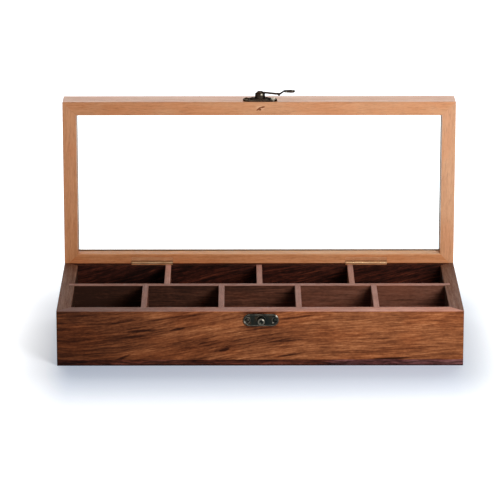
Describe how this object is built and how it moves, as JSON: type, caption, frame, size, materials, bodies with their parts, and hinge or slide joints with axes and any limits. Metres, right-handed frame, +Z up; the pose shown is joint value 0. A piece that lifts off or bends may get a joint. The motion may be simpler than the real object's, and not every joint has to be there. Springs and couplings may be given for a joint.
{
  "type": "compartment spice box",
  "caption": "Long wooden spice box with compartments in two rows and a hinged glass-topped lid held by a swing latch, shown open.",
  "frame": {"origin": "centre of the box's underside, on the surface it stands on", "axes": "+X to the right along the front, +Y to the back where the hinges are, +Z up; rest is the lid standing open"},
  "size_m": [0.36, 0.186, 0.2127],
  "materials": {
    "box_wood": "oiled, figured dark hardwood",
    "bottom_wood": "dark stained edge",
    "divider_wood": "oiled dark hardwood, plainer grain",
    "lid_wood": "fine-grained light hardwood, satin",
    "window_glass": "clear",
    "hinge_brass": "worn brass",
    "latch_bronze": "antique bronze, rubbed bright on the edges"
  },
  "bodies": {
    "box": {"front_wall": "box_wood", "back_wall": "box_wood", "left_wall": "box_wood", "right_wall": "box_wood", "bottom_panel": "bottom_wood", "long_divider": "divider_wood", "rear_divider_1": "divider_wood", "rear_divider_2": "divider_wood", "rear_divider_3": "divider_wood", "front_divider_1": "divider_wood", "front_divider_2": "divider_wood", "front_divider_3": "divider_wood", "front_divider_4": "divider_wood", "catch_plate": "latch_bronze", "catch_post": "latch_bronze", "catch_screws": "latch_bronze", "left_hinge_box_leaf": "hinge_brass", "right_hinge_box_leaf": "hinge_brass", "left_hinge_pin": "hinge_brass", "right_hinge_pin": "hinge_brass", "hinge_box_screws": "hinge_brass"},
    "lid": {"lid_front_rail": "lid_wood", "lid_back_rail": "lid_wood", "lid_left_stile": "lid_wood", "lid_right_stile": "lid_wood", "lid_window": "window_glass", "bead_front": "lid_wood", "bead_back": "lid_wood", "bead_left": "lid_wood", "bead_right": "lid_wood", "left_hinge_lid_leaf": "hinge_brass", "right_hinge_lid_leaf": "hinge_brass", "hinge_lid_screws": "hinge_brass", "latch_plate": "latch_bronze", "latch_pivot": "latch_bronze", "latch_screws": "latch_bronze"},
    "latch": {"latch_arm": "latch_bronze"}
  },
  "joints": [
    {"name": "lid_hinge", "type": "hinge", "parent": "box", "child": "lid", "pos_m": [0, 0.0745, 0.0506], "axis": [1, 0, 0], "range_deg": [0, 90]},
    {"name": "latch_swing", "type": "hinge", "parent": "lid", "child": "latch", "pos_m": [0.0008, 0.0803, 0.2036], "axis": [0, 0, -1], "range_deg": [-90, 90]}
  ]
}
